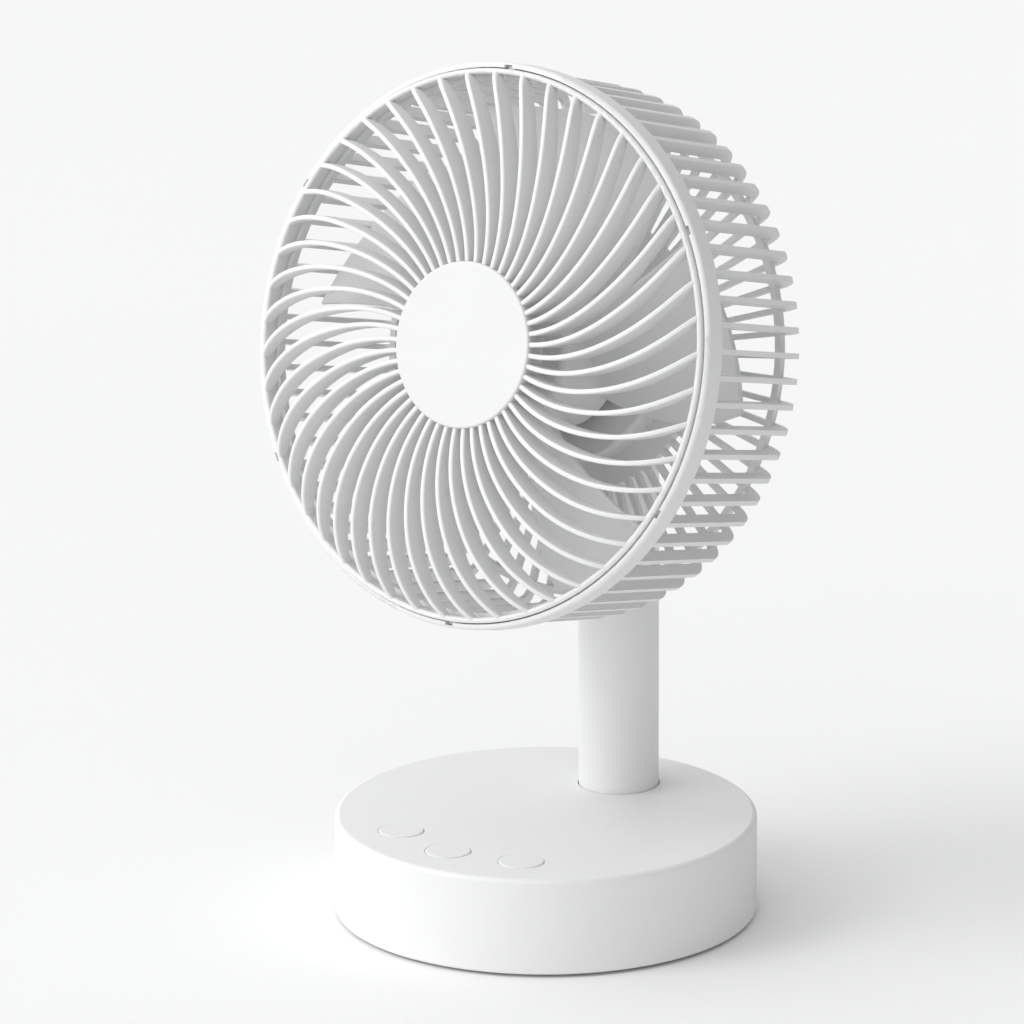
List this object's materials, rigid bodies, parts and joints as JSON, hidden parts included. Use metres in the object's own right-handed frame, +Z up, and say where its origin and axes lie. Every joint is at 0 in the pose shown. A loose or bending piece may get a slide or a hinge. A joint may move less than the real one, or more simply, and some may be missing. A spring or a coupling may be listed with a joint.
{
  "type": "desk fan",
  "caption": "Desk fan with a round weighted base, flush push buttons, a single round stem and a swivelling, tilting round head behind a swirled grille.",
  "frame": {"origin": "centre of the underside of the foot pad, on the surface the fan stands on", "axes": "+Z up, the fan blows towards -Y, +X to the right when seen from behind the front, that is from -Y"},
  "size_m": [0.1962, 0.15, 0.3098],
  "materials": {
    "base_white": "fine satin white moulding",
    "button_white": "satin white",
    "stem_white": "satin white paint",
    "joint_white": "satin white",
    "cage_white": "satin white",
    "grille_white": "satin white",
    "cap_white": "satin white",
    "impeller_white": "satin off-white",
    "nut_grey": "satin",
    "pad_rubber": "matt",
    "zinc_steel": "zinc plated",
    "ballast_iron": "dull",
    "circuit_board": "green solder mask",
    "switch_black": "black",
    "plated_steel": "plated sheet",
    "ground_steel": "ground bright",
    "bearing_plastic": "natural acetal",
    "tube_brass": "turned",
    "core_steel": "stacked sheet",
    "coil_copper": "enamelled wire",
    "magnet_iron": "bonded magnet"
  },
  "bodies": {
    "base": {"base_shell": "base_white", "base_plate": "base_white", "foot_pad": "pad_rubber", "base_screws": "zinc_steel", "ballast_weight": "ballast_iron", "ballast_screws": "zinc_steel", "control_board": "circuit_board", "tact_switches": "switch_black", "board_screws": "zinc_steel", "inlet_board": "circuit_board", "power_inlet": "plated_steel", "inlet_screws": "zinc_steel", "swing_motor": "plated_steel", "swing_motor_screws": "zinc_steel", "stem_bush": "bearing_plastic", "bush_screws": "zinc_steel", "thrust_washer": "bearing_plastic"},
    "stem": {"stem_tube": "stem_white", "stem_collar": "bearing_plastic", "swing_shaft": "ground_steel", "stem_yoke": "joint_white", "hinge_pin": "zinc_steel", "hinge_nut": "zinc_steel", "friction_washers": "bearing_plastic"},
    "head": {"tilt_arm": "joint_white", "arm_screws": "zinc_steel", "motor_housing": "cage_white", "housing_screws": "zinc_steel", "driver_board": "circuit_board", "driver_screws": "zinc_steel", "rear_cage": "cage_white", "bearing_tube": "tube_brass", "mount_screws": "zinc_steel", "motor_bearings": "ground_steel", "stator_core": "core_steel", "stator_coils": "coil_copper", "front_grille": "grille_white", "grille_cap": "cap_white"},
    "rotor": {"motor_shaft": "ground_steel", "rotor_can": "plated_steel", "rotor_magnet": "magnet_iron", "impeller": "impeller_white", "impeller_nut": "nut_grey"},
    "power_key": {"button_power": "button_white"},
    "swing_key": {"button_swing": "button_white"},
    "speed_key": {"button_speed": "button_white"}
  },
  "joints": [
    {"name": "stem_swing", "type": "hinge", "parent": "base", "child": "stem", "pos_m": [0, 0.0421, 0.03], "axis": [0, 0, 1], "range_deg": [-35, 35]},
    {"name": "head_tilt", "type": "hinge", "parent": "stem", "child": "head", "pos_m": [0, 0.0421, 0.1953], "axis": [1, 0, 0], "range_deg": [-25, 12]},
    {"name": "impeller_spin", "type": "hinge", "parent": "head", "child": "rotor", "pos_m": [0, -0.00748, 0.20766], "axis": [0, -0.9703, 0.2419], "continuous": true},
    {"name": "power_press", "type": "slide", "parent": "base", "child": "power_key", "axis": [0, 0, -1], "range_m": [0, 0.0006], "stiffness_N_per_m": 400, "springref_m": -0.001},
    {"name": "swing_press", "type": "slide", "parent": "base", "child": "swing_key", "axis": [0, 0, -1], "range_m": [0, 0.0006], "stiffness_N_per_m": 400, "springref_m": -0.001},
    {"name": "speed_press", "type": "slide", "parent": "base", "child": "speed_key", "axis": [0, 0, -1], "range_m": [0, 0.0006], "stiffness_N_per_m": 400, "springref_m": -0.001}
  ]
}
